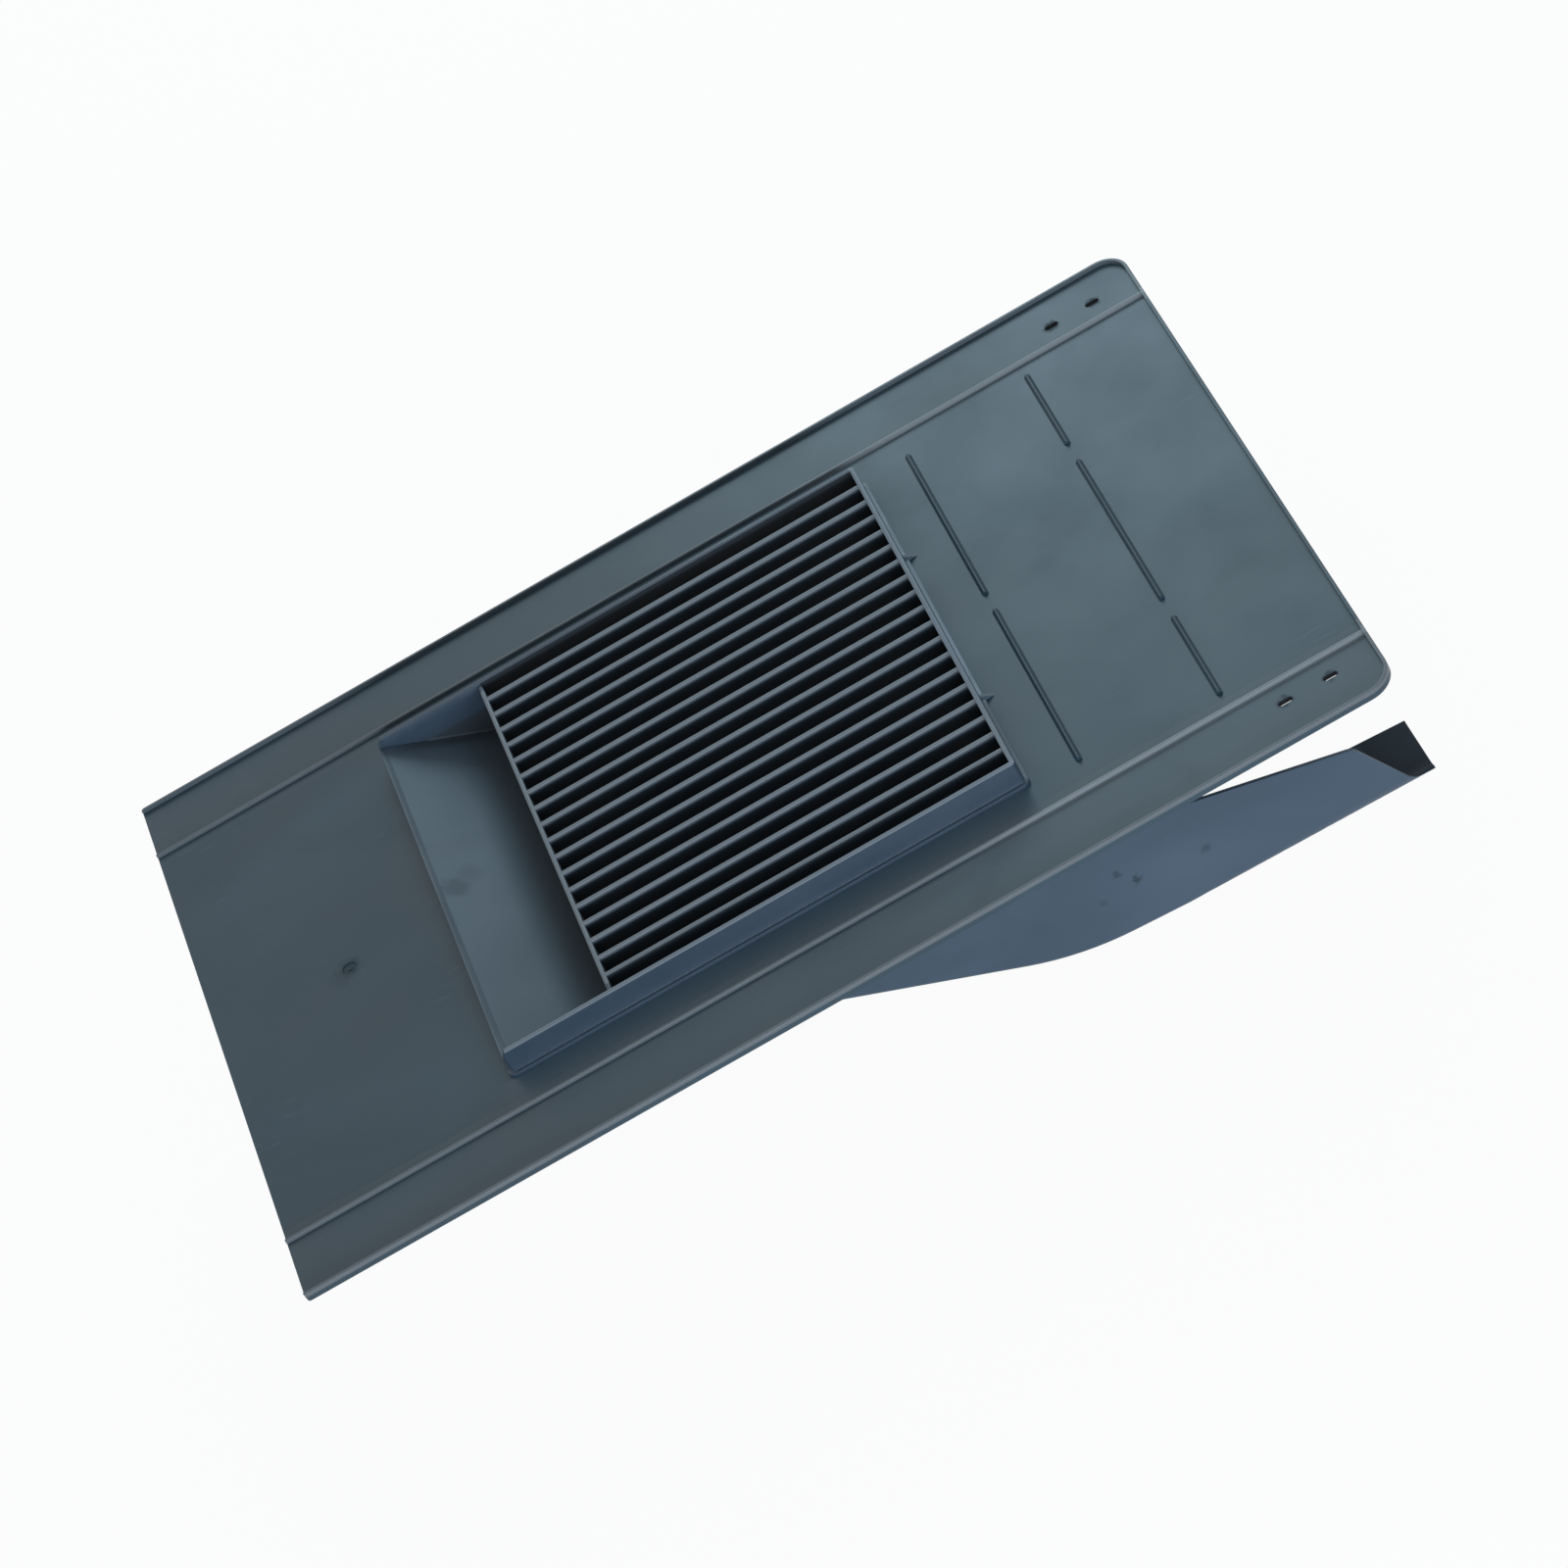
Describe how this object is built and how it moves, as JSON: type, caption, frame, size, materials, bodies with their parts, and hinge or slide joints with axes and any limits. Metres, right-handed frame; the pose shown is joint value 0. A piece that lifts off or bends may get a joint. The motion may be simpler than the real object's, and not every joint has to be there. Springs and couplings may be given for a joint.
{
  "type": "roof slate vent",
  "caption": "Flat plastic roof vent the size of a slate, with a raised louvre grille over a sloping air scoop that hangs below the tray.",
  "frame": {"origin": "middle of the four nail slots, on the tray's flat underside that lies on the roof battens", "axes": "+X up the roof slope from the tail to the head of the tray, +Y across the tray, +Z out of the roof at right angles to the tray"},
  "size_m": [0.6025, 0.385, 0.1542],
  "materials": {
    "tray_plastic": "satin slate-grey moulding with a fine grain",
    "grille_plastic": "satin slate-grey moulding",
    "scoop_plastic": "satin blue-grey moulding"
  },
  "bodies": {
    "root": {"slate_tray": "tray_plastic", "louvre_grille": "grille_plastic", "air_scoop": "scoop_plastic"}
  },
  "joints": []
}
